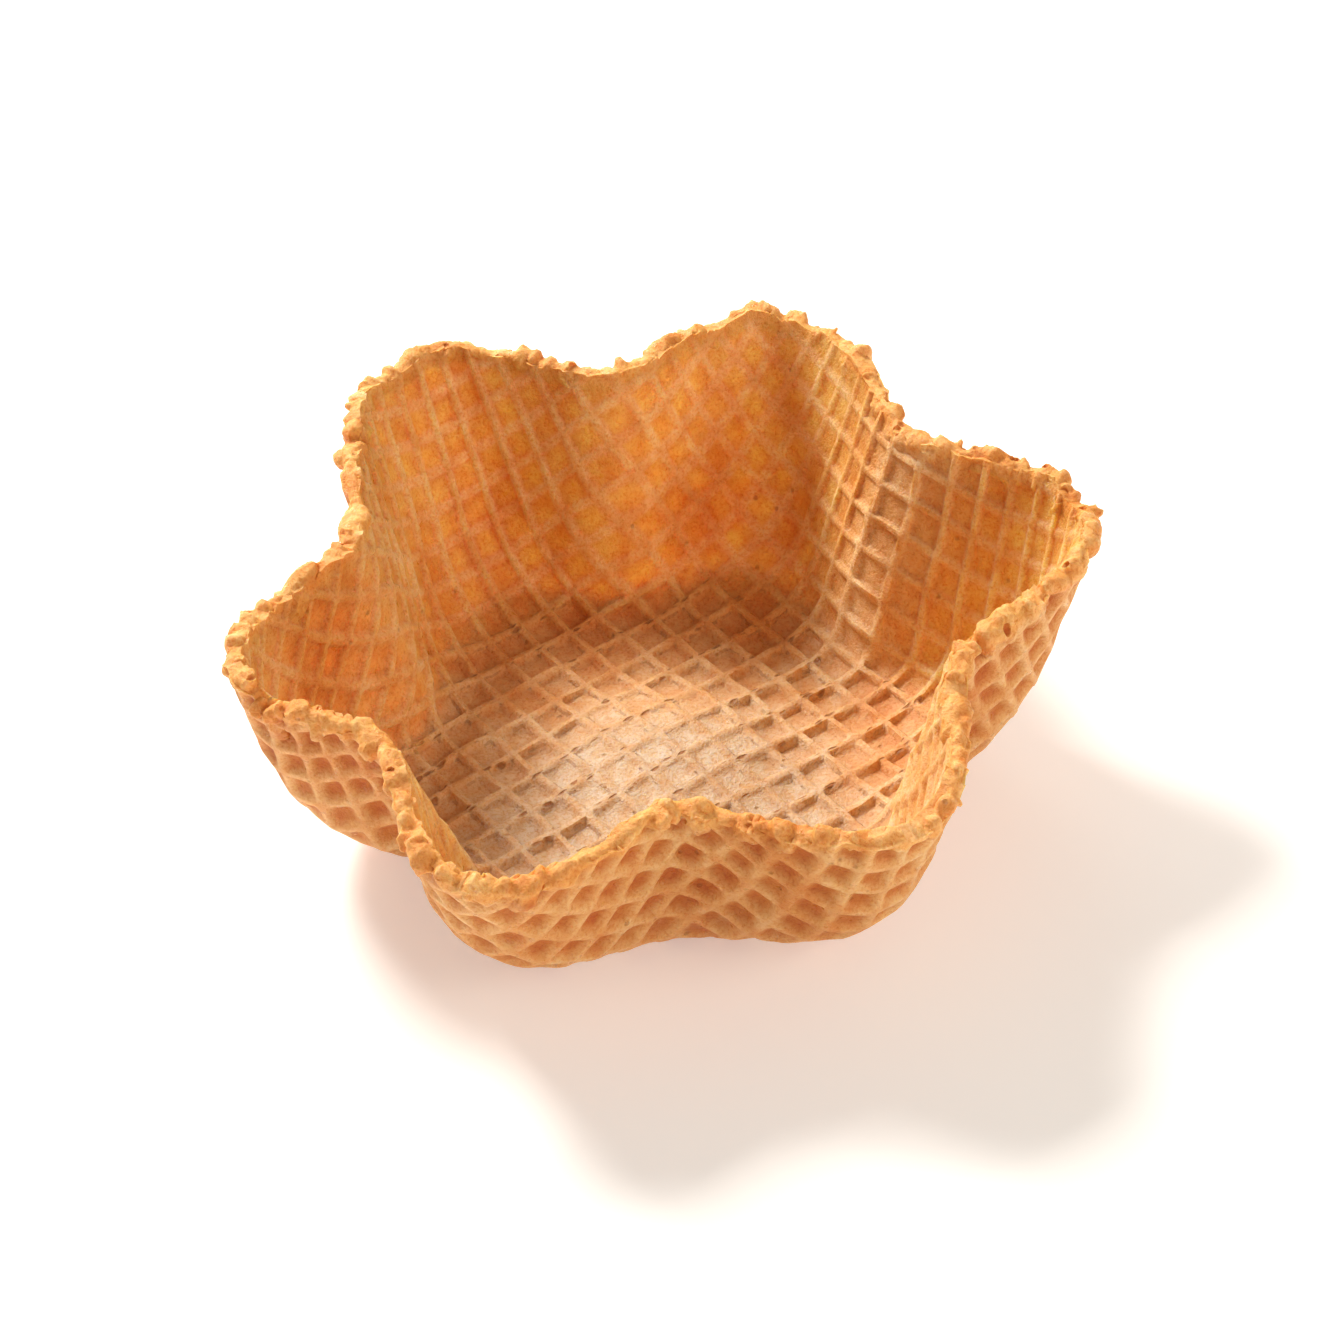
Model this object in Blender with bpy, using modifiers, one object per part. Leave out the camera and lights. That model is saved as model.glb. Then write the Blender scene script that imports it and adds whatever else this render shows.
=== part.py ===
"""Waffle tulip cup: one round baked waffle, pressed while soft into a cup with six flutes.

Built in the order the real one is made. The waffle is laid flat with its square pits on both
faces, trimmed to a ragged round outline, and then pressed into the fluted cup. Metres, +Z up.
The cup stands on the origin's plane, and its lowest stretch of rim faces -Y.
"""

import math

import bmesh
import bpy
import numpy as np

MM = 0.001

# Waffle, while flat.
PITCH = 5.9 * MM  # from ridge to ridge
LATTICE_TURN = math.radians(36.0)  # of the ridges about +Z
LATTICE_PHASE = (0.286, 0.563)  # where the ridge crossings lie, in pitches
THICKNESS = 3.4 * MM  # over the ridges of both faces
INNER_PIT = (1.15 * MM, 0.65 * MM)  # width of the sloping side, depth
OUTER_PIT = (1.45 * MM, 0.85 * MM)

# Cup, on the middle of the waffle's thickness. Directions are degrees from +X towards +Y.
# Rim of the lobes and of the valleys between them: direction, radius in mm, height in mm.
# The waffle sat a little off centre when it was pressed, so the rim is higher towards +Y.
RIM_LOBES = (
    (8, 64.0, 40.6),
    (70, 62.6, 42.6),
    (124, 62.0, 43.2),
    (196, 61.5, 39.6),
    (246, 63.8, 34.6),
    (303, 62.0, 35.0),
)
RIM_VALLEYS = (
    (36, 48.6, 40.8),
    (97, 45.5, 42.2),
    (168, 44.6, 40.6),
    (219, 49.8, 36.5),
    (273, 46.4, 35.4),
    (336, 46.8, 37.4),
)
# Where floor and wall would meet: direction, radius in mm. The flutes lean a little.
BASE_LOBES = ((3, 50.5), (70, 48.0), (125, 48.0), (195, 52.5), (238, 50.5), (303, 49.5))
BASE_VALLEYS = ((36, 36.0), (97, 36.0), (164, 36.0), (216, 36.0), (273, 37.5), (336, 37.5))
BEND_LOBE = 24.0  # radius of the bend from floor to wall in mm
BEND_VALLEY = 7.0
FLOOR_RISE = 2.2 * MM  # the middle of the floor is domed
DOME_RADIUS = 21.5 * MM
FOOT_RING = (21.0 * MM, 32.5 * MM)  # the underside is squashed flat here, where the cup stands

# Ragged rim: the batter ran out into small lumps.
LUMPS = 84
LUMP_HEIGHT = (0.5 * MM, 1.4 * MM)  # least and most
LUMP_GAP = 0.4 * MM  # depth of the gaps between them


def eased(t):
    return (1.0 - np.cos(np.pi * t)) / 2.0


def round_the_cup(stations, angle):
    """Value at each angle, eased from one (degrees, value) station to the next."""
    degrees = np.array([row[0] for row in stations], float)
    values = np.array([row[1] for row in stations], float)
    degrees = np.append(degrees, degrees[0] + 360.0)
    values = np.append(values, values[0])
    turned = (np.degrees(angle) - degrees[0]) % 360.0 + degrees[0]
    i = np.clip(np.searchsorted(degrees, turned, side="right") - 1, 0, len(degrees) - 2)
    share = eased((turned - degrees[i]) / (degrees[i + 1] - degrees[i]))
    return values[i] * (1.0 - share) + values[i + 1] * share


RIM_ROWS = sorted(RIM_LOBES + RIM_VALLEYS)
RIM_RADII = [(degrees, radius * MM) for degrees, radius, _ in RIM_ROWS]
RIM_HEIGHTS = [(degrees, height * MM) for degrees, _, height in RIM_ROWS]
BASE_RADII = [(degrees, radius * MM) for degrees, radius in sorted(BASE_LOBES + BASE_VALLEYS)]
BENDS = sorted(
    [(row[0], BEND_LOBE * MM) for row in BASE_LOBES]
    + [(row[0], BEND_VALLEY * MM) for row in BASE_VALLEYS]
)


def wall(angle):
    """Sizes of the wall in the section at each angle: base, bend, slope, setback and slant length."""
    base = round_the_cup(BASE_RADII, angle)
    bend = round_the_cup(BENDS, angle)
    rim = round_the_cup(RIM_RADII, angle)
    rise = round_the_cup(RIM_HEIGHTS, angle) - THICKNESS / 2.0
    slope = np.arctan2(rise, rim - base)
    setback = bend * np.tan(slope / 2.0)
    return base, bend, slope, setback, np.hypot(rise, rim - base)


def reach(angle):
    """Length of the waffle from the middle of the floor to the rim, along the section."""
    base, bend, slope, setback, slant = wall(angle)
    return base - setback + bend * slope + slant - setback


def flute_angle(angle):
    """Where the waffle of each direction lies on the fluted wall: it is shared out by length."""
    turn = np.linspace(0.0, 2.0 * np.pi, 721)
    radius = (round_the_cup(BASE_RADII, turn) + round_the_cup(RIM_RADII, turn)) / 2.0
    x, y = radius * np.cos(turn), radius * np.sin(turn)
    length = np.append(0.0, np.cumsum(np.hypot(np.diff(x), np.diff(y))))
    share = length / length[-1] * 2.0 * np.pi
    offset = np.mean(turn - share)
    wrapped = (angle - offset) % (2.0 * np.pi)
    return np.interp(wrapped, share, turn) + (angle - offset - wrapped)


def middle(x, y):
    """The point of the cup's mid-surface where the point (x, y) of the flat waffle ends up."""
    along = np.hypot(x, y)
    flat_angle = np.arctan2(y, x)
    blend = eased(np.clip((along - 24.0 * MM) / (22.0 * MM), 0.0, 1.0))
    angle = flat_angle + blend * (flute_angle(flat_angle) - flat_angle)
    base, bend, slope, setback, _ = wall(angle)
    straight_from = base - setback + bend * slope
    bent = np.clip((along - (base - setback)) / bend, 0.0, slope)
    past = np.maximum(along - straight_from, 0.0)
    out = np.minimum(along, base - setback) + bend * np.sin(bent) + past * np.cos(slope)
    up = bend * (1.0 - np.cos(bent)) + past * np.sin(slope)
    dome = FLOOR_RISE * np.maximum(0.0, 1.0 - (along / DOME_RADIUS) ** 2) ** 1.5
    return np.stack([out * np.cos(angle), out * np.sin(angle), up + dome + THICKNESS / 2.0], 1)


def press(points):
    """Points of the flat waffle moved to the cup, each kept at its depth in the thickness."""
    x, y, depth = points.T
    step = 0.05 * MM
    run_x = middle(x + step, y) - middle(x - step, y)
    run_y = middle(x, y + step) - middle(x, y - step)
    normal = np.cross(run_x, run_y)
    normal /= np.linalg.norm(normal, axis=1)[:, None]
    return middle(x, y) + depth[:, None] * normal


def clear_scene():
    for item in list(bpy.data.objects):
        bpy.data.objects.remove(item, do_unlink=True)


def flat_waffle():
    """Square plate on the lattice, wider than the outline, with a pit in every cell of both faces."""
    cells = 2 * math.ceil(90.0 * MM / PITCH)
    bpy.ops.mesh.primitive_grid_add(x_subdivisions=cells, y_subdivisions=cells, size=cells * PITCH)
    plate = bpy.context.object
    solidify = plate.modifiers.new("thickness", "SOLIDIFY")
    solidify.thickness = THICKNESS
    solidify.offset = 0.0
    bpy.ops.object.modifier_apply(modifier=solidify.name)
    mesh = bmesh.new()
    mesh.from_mesh(plate.data)
    shift = (LATTICE_PHASE[0] * PITCH, LATTICE_PHASE[1] * PITCH, 0.0)
    bmesh.ops.translate(mesh, verts=mesh.verts, vec=shift)
    turned = math.cos(LATTICE_TURN), math.sin(LATTICE_TURN)
    for vert in mesh.verts:
        x, y, z = vert.co
        vert.co = (x * turned[0] - y * turned[1], x * turned[1] + y * turned[0], z)
    mesh.normal_update()
    whole = [face for face in mesh.faces if abs(face.normal.z) > 0.5 and clear_of_edge(face)]
    inner = [face for face in whole if face.normal.z > 0.0]
    outer = [face for face in whole if face.normal.z < 0.0 and not on_foot(face)]
    for faces, (side, depth) in ((inner, INNER_PIT), (outer, OUTER_PIT)):
        bmesh.ops.inset_individual(mesh, faces=faces, thickness=side, depth=-depth, use_even_offset=True)
    mesh.to_mesh(plate.data)
    mesh.free()
    return plate


def clear_of_edge(face):
    """Whether the cell's middle is inside the outline by more than the width of a ridge."""
    middle_of = face.calc_center_median()
    angle = math.atan2(middle_of.y, middle_of.x)
    limit = float(reach(flute_angle(np.array([angle])))[0]) - 0.55 * PITCH
    return math.hypot(middle_of.x, middle_of.y) < limit


def on_foot(face):
    distances = [math.hypot(vert.co.x, vert.co.y) for vert in face.verts]
    return min(distances) > FOOT_RING[0] and max(distances) < FOOT_RING[1]


def outline_cutter():
    """Prism with the waffle's ragged outline."""
    bpy.ops.mesh.primitive_cylinder_add(vertices=2 * LUMPS, radius=1.0, depth=4.0 * THICKNESS)
    cutter = bpy.context.object
    rng = np.random.default_rng(7)
    height = rng.uniform(*LUMP_HEIGHT, LUMPS)
    for vert in cutter.data.vertices:
        angle = math.atan2(vert.co.y, vert.co.x)
        corner = round(angle / (2.0 * math.pi) * 2 * LUMPS) % (2 * LUMPS)
        out = height[corner // 2] if corner % 2 else -LUMP_GAP
        length = float(reach(flute_angle(np.array([angle])))[0]) + out
        vert.co.x = length * math.cos(angle)
        vert.co.y = length * math.sin(angle)
    cutter.hide_render = True
    cutter.display_type = "WIRE"
    return cutter


def build():
    clear_scene()
    cup = flat_waffle()
    cutter = outline_cutter()
    trim = cup.modifiers.new("outline", "BOOLEAN")
    trim.operation = "INTERSECT"
    trim.solver = "EXACT"
    trim.object = cutter
    bpy.ops.object.select_all(action="DESELECT")
    bpy.context.view_layer.objects.active = cup
    cup.select_set(True)
    bpy.ops.object.modifier_apply(modifier=trim.name)
    bpy.data.objects.remove(cutter, do_unlink=True)

    mesh = bmesh.new()
    mesh.from_mesh(cup.data)
    bmesh.ops.triangulate(mesh, faces=mesh.faces)
    pressed = press(np.array([vert.co for vert in mesh.verts]))
    across = pressed[:, :2]
    across -= (across.min(axis=0) + across.max(axis=0)) / 2.0  # the origin is the box's middle
    for vert, place in zip(mesh.verts, pressed):
        vert.co = place
    bmesh.ops.recalc_face_normals(mesh, faces=mesh.faces)
    mesh.to_mesh(cup.data)
    mesh.free()

    cup.name = "waffle_cup"
    cup.data.name = "waffle_cup"
    biscuit = bpy.data.materials.new("baked_waffle")
    biscuit.use_nodes = True
    shader = biscuit.node_tree.nodes["Principled BSDF"]
    shader.inputs["Base Color"].default_value = (0.56, 0.27, 0.09, 1.0)
    shader.inputs["Roughness"].default_value = 0.7
    cup.data.materials.clear()
    cup.data.materials.append(biscuit)
    collection = bpy.data.collections.new("waffle_tulip_cup")
    bpy.context.scene.collection.children.link(collection)
    for holder in list(cup.users_collection):
        holder.objects.unlink(cup)
    collection.objects.link(cup)


build()
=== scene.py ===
# %% [markdown]
# # A waffle tulip cup
# A round waffle is baked between two gridded plates, and while it is still soft it is pushed into
# a fluted mould, where it cools as a cup with six lobes. This lesson makes it in the same order:
# a flat waffle with its pits, a ragged edge of lumps where the batter ran out, one pressing that
# bends both, and then the baked finish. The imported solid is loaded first. It fixes the size and
# the place of everything that follows.

# %% The fixed frame
import math

import bpy
import numpy as np
from mathutils import Matrix, Vector
from mathutils.kdtree import KDTree


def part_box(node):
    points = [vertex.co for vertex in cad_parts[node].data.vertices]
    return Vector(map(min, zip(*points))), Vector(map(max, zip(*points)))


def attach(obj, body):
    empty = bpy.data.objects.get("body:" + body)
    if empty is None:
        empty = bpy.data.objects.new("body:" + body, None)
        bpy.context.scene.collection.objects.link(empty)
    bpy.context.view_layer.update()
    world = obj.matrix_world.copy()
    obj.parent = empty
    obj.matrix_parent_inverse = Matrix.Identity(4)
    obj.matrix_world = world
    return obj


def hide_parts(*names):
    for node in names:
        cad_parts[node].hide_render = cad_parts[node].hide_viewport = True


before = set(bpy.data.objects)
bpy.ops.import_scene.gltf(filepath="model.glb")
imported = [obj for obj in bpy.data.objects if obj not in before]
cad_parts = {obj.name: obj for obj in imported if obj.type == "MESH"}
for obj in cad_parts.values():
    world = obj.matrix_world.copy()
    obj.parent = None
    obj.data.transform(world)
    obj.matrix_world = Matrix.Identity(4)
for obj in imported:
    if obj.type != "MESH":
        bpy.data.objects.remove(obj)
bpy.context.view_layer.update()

MM = 0.001
low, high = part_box("waffle_cup")
print("solid's box in mm:", [round(v / MM, 1) for v in (*low, *high)])

# %% [markdown]
# ## Sizes
# The lattice of ridges gives the scale: its lines are 5.9 mm apart. The flutes are given by twelve
# directions round the cup, a lobe or a valley each, with the rim's radius and height there. The
# base has its own, smaller outline, and each lobe meets the floor in a wide bend.

# %% Named sizes of the waffle and of the mould
PITCH = 5.9
TURN = math.radians(36.0)  # of the lattice, from the frame's axes
PHASE = (0.286, 0.563)  # of the lattice, in cells
THICKNESS = 3.4  # over the ridges
CENTRE = np.array([-2.07, -0.03])  # the mould's middle, from the middle of the cup's box

# Direction in degrees, radius and height of the rim in mm, then how plain the lattice is on the
# wall's inside, for lines that run up it and round it, how broken the edge is, and how strongly
# painted light pales the wall's inside where the lamps fall on it.
RIM = (
    (8, 64.0, 40.6, 0.75, 0.2, 0.5, 0.1), (36, 48.6, 40.8, 1.0, 0.9, 0.8, 1.0),
    (70, 62.6, 42.6, 0.4, 0.25, 0.3, 0.0), (97, 45.5, 42.2, 0.6, 0.5, 0.3, 0.2),
    (124, 62.0, 43.2, 0.85, 0.35, 0.5, 0.1), (168, 44.6, 40.6, 0.9, 0.8, 1.0, 0.65),
    (196, 61.5, 39.6, 0.9, 0.9, 0.7, 0.6), (219, 49.8, 36.5, 0.9, 0.9, 0.5, 0.55),
    (246, 63.8, 34.6, 0.9, 0.8, 0.5, 0.3), (273, 46.4, 35.4, 0.8, 0.8, 0.2, 0.3),
    (303, 62.0, 35.0, 0.8, 0.8, 0.3, 1.0), (336, 46.8, 37.4, 0.9, 0.7, 1.0, 0.7),
)
BASE = (  # direction, radius where floor and wall would meet, radius of the bend
    (3, 50.5, 24.0), (36, 36.0, 7.0), (70, 48.0, 24.0), (97, 36.0, 7.0),
    (125, 48.0, 24.0), (164, 36.0, 7.0), (195, 52.5, 24.0), (216, 36.0, 7.0),
    (238, 50.5, 24.0), (273, 37.5, 7.0), (303, 49.5, 24.0), (336, 37.5, 7.0),
)
FLOOR_RISE = 2.2  # of the domed middle
DOME_RADIUS = 21.5
FLUTES_FROM, FLUTES_OVER = 24.0, 22.0  # where the waffle starts to gather into flutes, and over how far
print("lobes and valleys:", len(RIM))


# %% [markdown]
# ## The pressing
# A mould can't be drawn with edit-mode tools alone, because every point of the waffle has to land
# on a wall that curves both ways. So the mould is a formula: `middle` takes a point of the flat
# waffle to the middle of the pressed one, and `press` adds the depth in the thickness along the
# surface's own normal. Floor, bend and wall are one unrolled line, so the lattice keeps its size.

# %% The mould as a formula
def eased(t):
    return (1.0 - np.cos(np.pi * t)) / 2.0


def round_the_cup(rows, column, angle):
    """One column of a table, eased from one direction to the next."""
    degrees = np.array([row[0] for row in rows] + [rows[0][0] + 360.0], float)
    values = np.array([row[column] for row in rows] + [rows[0][column]], float)
    turned = (np.degrees(angle) - degrees[0]) % 360.0 + degrees[0]
    i = np.clip(np.searchsorted(degrees, turned, side="right") - 1, 0, len(rows) - 1)
    share = eased((turned - degrees[i]) / (degrees[i + 1] - degrees[i]))
    return values[i] * (1.0 - share) + values[i + 1] * share


def wall(angle):
    """Base, bend, slope, setback and slant length of the wall's section in each direction."""
    base = round_the_cup(BASE, 1, angle)
    bend = round_the_cup(BASE, 2, angle)
    flare = round_the_cup(RIM, 1, angle) - base
    rise = round_the_cup(RIM, 2, angle) - THICKNESS / 2.0
    slope = np.arctan2(rise, flare)
    setback = bend * np.tan(slope / 2.0)
    return base, bend, slope, setback, np.hypot(rise, flare)


TURNS = np.linspace(0.0, 2.0 * np.pi, 721)
MID_WALL = (round_the_cup(BASE, 1, TURNS) + round_the_cup(RIM, 1, TURNS)) / 2.0
STEPS = np.hypot(np.diff(MID_WALL * np.cos(TURNS)), np.diff(MID_WALL * np.sin(TURNS)))
SHARES = np.append(0.0, np.cumsum(STEPS)) / STEPS.sum() * 2.0 * np.pi
OFFSET = np.mean(TURNS - SHARES)


def flute_angle(angle):
    """The direction on the fluted wall of a direction on the flat waffle."""
    wrapped = (angle - OFFSET) % (2.0 * np.pi)
    return np.interp(wrapped, SHARES, TURNS) + (angle - OFFSET - wrapped)


def reach(angle):
    """How far the flat waffle reaches in each direction before its ragged edge."""
    base, bend, slope, setback, slant = wall(flute_angle(angle))
    return base - 2.0 * setback + bend * slope + slant


def middle(x, y):
    """Where a point of the flat waffle ends up, on the middle of its thickness."""
    along = np.hypot(x, y)
    flat = np.arctan2(y, x)
    blend = eased(np.clip((along - FLUTES_FROM) / FLUTES_OVER, 0.0, 1.0))
    angle = flat + blend * (flute_angle(flat) - flat)
    base, bend, slope, setback, _ = wall(angle)
    bent = np.clip((along - (base - setback)) / bend, 0.0, slope)
    past = np.maximum(along - (base - setback + bend * slope), 0.0)
    out = np.minimum(along, base - setback) + bend * np.sin(bent) + past * np.cos(slope)
    up = bend * (1.0 - np.cos(bent)) + past * np.sin(slope)
    dome = FLOOR_RISE * np.maximum(0.0, 1.0 - (along / DOME_RADIUS) ** 2) ** 1.5
    return np.stack([out * np.cos(angle), out * np.sin(angle), up + dome + THICKNESS / 2.0], 1)


def press(points):
    """Flat points in mm to the cup's place, in metres."""
    x, y, depth = np.asarray(points, float).T
    nearby = 0.05
    run_x = middle(x + nearby, y) - middle(x - nearby, y)
    run_y = middle(x, y + nearby) - middle(x, y - nearby)
    normal = np.cross(run_x, run_y)
    normal /= np.linalg.norm(normal, axis=1)[:, None]
    placed = middle(x, y) + depth[:, None] * normal
    placed[:, :2] += CENTRE
    return placed * MM


print("waffle's radius while flat, mm:", np.round((reach(TURNS).min(), reach(TURNS).max()), 1))

# %% [markdown]
# ## Unevenness
# Nothing baked is regular. `uneven` is a smooth random field over the waffle: random numbers on a
# coarse net, eased between its knots. The seed makes each run the same.

# %% A smooth random field
KNOTS = 64  # of the net, each way
FAR = 1000.0  # keeps the places on the net positive
RING = 80.0  # radius in mm on which the edge's unevenness is read
NOTCHES = ((201.0, 1.2, 2.6), (340.0, 1.6, 1.6), (158.0, 1.5, 1.2))  # degrees, half-width, mm deep


def uneven(x, y, size, seed):
    """Between -1 and 1, with lumps of about this size."""
    net = np.random.default_rng(seed).uniform(-1.0, 1.0, (KNOTS, KNOTS))
    u, v = x / size + FAR, y / size + FAR
    i, j = np.floor(u).astype(int), np.floor(v).astype(int)
    s, t = eased(u - i), eased(v - j)

    def corner(a, b):
        return net[(i + a) % KNOTS, (j + b) % KNOTS]

    near = corner(0, 0) * (1.0 - s) + corner(1, 0) * s
    far = corner(0, 1) * (1.0 - s) + corner(1, 1) * s
    return near * (1.0 - t) + far * t


def sideways(x, y):
    """How far the lattice wanders in x and y, in mm."""
    return 0.4 * uneven(x, y, 11.0, 32), 0.4 * uneven(x, y, 11.0, 33)


def outline(angle):
    """The ragged outline of the sheet itself, under the lumps of its edge."""
    x, y = RING * np.cos(angle), RING * np.sin(angle)
    radius = reach(angle) - 0.2 + 1.1 * uneven(x, y, 8.0, 3) + 0.5 * uneven(x, y, 3.2, 4)
    for direction, half_width, deep in NOTCHES:
        away = (np.degrees(angle) - direction + 180.0) % 360.0 - 180.0
        radius = radius - deep * np.exp(-((away / half_width) ** 2))
    return radius


print("ragged outline, mm:", np.round((outline(TURNS).min(), outline(TURNS).max()), 1))

# %% [markdown]
# ## The flat waffle
# The real one is batter squeezed between two plates. Here a grid primitive is laid out with seven
# rows of faces to a cell. The rows are moved close together at the ridges, where the shape turns
# quickly, and far apart on the bottoms of the pits. What lies outside the outline is deleted in
# edit mode, and a Solidify modifier gives the sheet its thickness and closes its edge.

# %% Grid, outline and thickness
ROWS = np.array([0.4, 0.85, 1.3, 2.95, 4.6, 5.05, 5.5]) / PITCH  # in cells, on the inside face
OUTER_ROWS = np.array([0.45, 1.05, 1.85, 2.95, 4.05, 4.85, 5.45]) / PITCH
ROWS_IN_CELL = len(ROWS)
CELLS = 30  # each way, more than the waffle has


def deselect():
    bpy.ops.object.select_all(action="DESELECT")


def take(piece):
    """Makes this the one selected and active object."""
    deselect()
    bpy.context.view_layer.objects.active = piece
    piece.select_set(True)


def read(mesh, name):
    """A row for each point: its coordinates for "co", or its normal for "normal"."""
    flat = np.empty(len(mesh.vertices) * 3)
    mesh.vertices.foreach_get(name, flat)
    return flat.reshape(-1, 3)


def lattice_to_flat(a, b):
    """Lattice lines lie on whole numbers of a and b. Gives x and y in mm."""
    u, v = (a + PHASE[0]) * PITCH, (b + PHASE[1]) * PITCH
    return u * math.cos(TURN) - v * math.sin(TURN), u * math.sin(TURN) + v * math.cos(TURN)


def flat_to_lattice(x, y):
    """The way back, from mm to places on the lattice."""
    u = x * math.cos(TURN) + y * math.sin(TURN)
    v = -x * math.sin(TURN) + y * math.cos(TURN)
    return u / PITCH - PHASE[0], v / PITCH - PHASE[1]


def spaced(number):
    """Places whole row numbers at the uneven spacing of ROWS."""
    number = np.rint(number).astype(int)
    return number // ROWS_IN_CELL + ROWS[number % ROWS_IN_CELL]


deselect()
count = CELLS * ROWS_IN_CELL
bpy.ops.mesh.primitive_grid_add(x_subdivisions=count, y_subdivisions=count, size=count)
sheet = bpy.context.object
sheet.name = "waffle_sheet"
grid = read(sheet.data, "co")
cell_a = spaced(grid[:, 0] + count / 2) - CELLS / 2
cell_b = spaced(grid[:, 1] + count / 2) - CELLS / 2
x, y = lattice_to_flat(cell_a, cell_b)
along, around = np.hypot(x, y), np.arctan2(y, x)
limit = outline(around)
outside = along > limit
pulled = np.where(outside, limit / np.maximum(along, 1.0), 1.0)
grid = np.stack([x * pulled, y * pulled, np.zeros(len(x))], 1)
sheet.data.vertices.foreach_set("co", grid.ravel())
corners = np.empty(len(sheet.data.polygons) * 4, int)
sheet.data.polygons.foreach_get("vertices", corners)
drop = outside[corners.reshape(-1, 4)].sum(1) >= 3
print("faces in the grid:", len(drop), "outside the outline:", int(drop.sum()))

bpy.ops.object.mode_set(mode="EDIT")
bpy.ops.mesh.select_mode(type="FACE")
bpy.ops.mesh.select_all(action="DESELECT")
bpy.ops.object.mode_set(mode="OBJECT")
sheet.data.polygons.foreach_set("select", drop)
bpy.ops.object.mode_set(mode="EDIT")
bpy.ops.mesh.delete(type="FACE")
bpy.ops.object.mode_set(mode="OBJECT")

solidify = sheet.modifiers.new("thickness", "SOLIDIFY")
solidify.thickness = 2.0  # for now: the relief below sets the depth of each point
solidify.offset = 0.0
bpy.ops.object.modifier_apply(modifier=solidify.name)
print("sheet:", len(sheet.data.vertices), "points,", len(sheet.data.polygons), "faces")


# %% [markdown]
# ## Ridges and pits
# Both plates have a grid of grooves that leaves ridges round square pits. The inside face was
# pressed against the mould, so its ridges are squashed wide on the floor, and on the wall those
# that run up it stay sharper than those that run round it. The outside has deep scoops between
# broad soft ridges. Displace modifiers would need a picture of the pattern, so the depth is worked
# out from each point's distance to the nearest lattice lines.

# %% Relief of the inside face
INSIDE_DEPTH, OUTSIDE_DEPTH = 1.05, 1.3  # of a whole pit, in mm


def step(low_end, high_end, value):
    """0 up to the low end, 1 from the high end, and eased between them."""
    return eased(np.clip((value - low_end) / (high_end - low_end), 0.0, 1.0))


def to_lines(place):
    """Distance in mm to the nearest line of one family."""
    return np.abs(place - np.rint(place)) * PITCH


def inside_relief(x, y):
    """Depth in mm below the level of the ridges."""
    along, around = np.hypot(x, y), np.arctan2(y, x)
    on_wall = step(34.0, 46.0, along)
    wander, fine = uneven(x, y, 9.0, 11), uneven(x, y, 1.6, 12)
    half_width = 0.5 - 0.08 * on_wall + 0.1 * wander + 0.12 * fine
    plain_up, plain_round = [round_the_cup(RIM, c, flute_angle(around)) for c in (3, 4)]
    raised = np.zeros(len(x))
    for place, heading in zip(flat_to_lattice(x, y), (TURN + math.pi / 2.0, TURN)):
        upright = np.cos(heading - around) ** 2
        plain = plain_up * upright + plain_round * (1.0 - upright)
        height = 1.0 - on_wall * (1.0 - plain)
        ridge = 1.0 - step(half_width, half_width + 0.6, to_lines(place))
        raised = np.maximum(raised, ridge * height)
    # The middle of the floor was squashed hardest. On the wall the pits are partly filled in.
    squashed = 1.0 - step(8.0, 23.0, np.hypot(x - 2.0, y + 2.0) + 7.0 * wander)
    depth = (INSIDE_DEPTH + 0.15 * wander + 0.12 * uneven(x, y, 5.9, 13)) * (1.0 - 0.6 * squashed)
    filled = 1.0 - on_wall * (0.7 - 0.45 * plain_up)
    worn = 0.13 * fine + 0.2 * uneven(x, y, 3.1, 14)
    return depth * filled * (1.0 - raised) + worn * raised + 0.06 * fine


# %% Relief of the outside face
SCOOP_SLOPE = 2.15  # mm from the ridge's top to the bottom of the scoop


def outside_relief(x, y):
    """Depth in mm below the level of the ridges."""
    along = np.hypot(x, y)
    ridge = 0.34 + 0.1 * uneven(x, y, 4.0, 23)
    scoop = 1.0
    for place in flat_to_lattice(x, y):
        slope = np.clip((to_lines(place) - ridge) / SCOOP_SLOPE, 0.0, 1.0)
        scoop = scoop * np.sin(np.pi / 2.0 * slope)
    deepest = OUTSIDE_DEPTH + 0.2 * uneven(x, y, 6.5, 21)
    # The cup stands on a ring of the floor, which is squashed nearly flat.
    foot = step(20.0, 23.0, along) * (1.0 - step(31.0, 34.0, along))
    return deepest * scoop**0.85 * (1.0 - 0.85 * foot) + 0.12 * uneven(x, y, 2.4, 22)


def respaced(place):
    """Lattice places on the inside rows moved to the outside rows."""
    cell = np.floor(place)
    here = np.concatenate([ROWS[-1:] - 1.0, ROWS, ROWS[:1] + 1.0])
    there = np.concatenate([OUTER_ROWS[-1:] - 1.0, OUTER_ROWS, OUTER_ROWS[:1] + 1.0])
    return cell + np.interp(place - cell, here, there)


x, y, z = read(sheet.data, "co").T
inner_side = z > 0.0
moved = lattice_to_flat(*(respaced(place) for place in flat_to_lattice(x, y)))
share = np.where(inner_side, 0.0, step(0.0, 4.0, outline(np.arctan2(y, x)) - np.hypot(x, y)))
x, y = x + share * (moved[0] - x), y + share * (moved[1] - y)
depth = np.where(inner_side, inside_relief(x, y), outside_relief(x, y))
bulge = 0.3 * uneven(x, y, 14.0, 31) * step(26.0, 40.0, np.hypot(x, y))
warp_x, warp_y = sideways(x, y)
up = np.sign(z) * (THICKNESS / 2.0 - depth) + bulge
sheet.data.vertices.foreach_set("co", np.stack([x + warp_x, y + warp_y, up], 1).ravel())
sheet.data.update()
print("relief from", round(float(depth.min()), 2), "to", round(float(depth.max()), 2), "mm")


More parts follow.
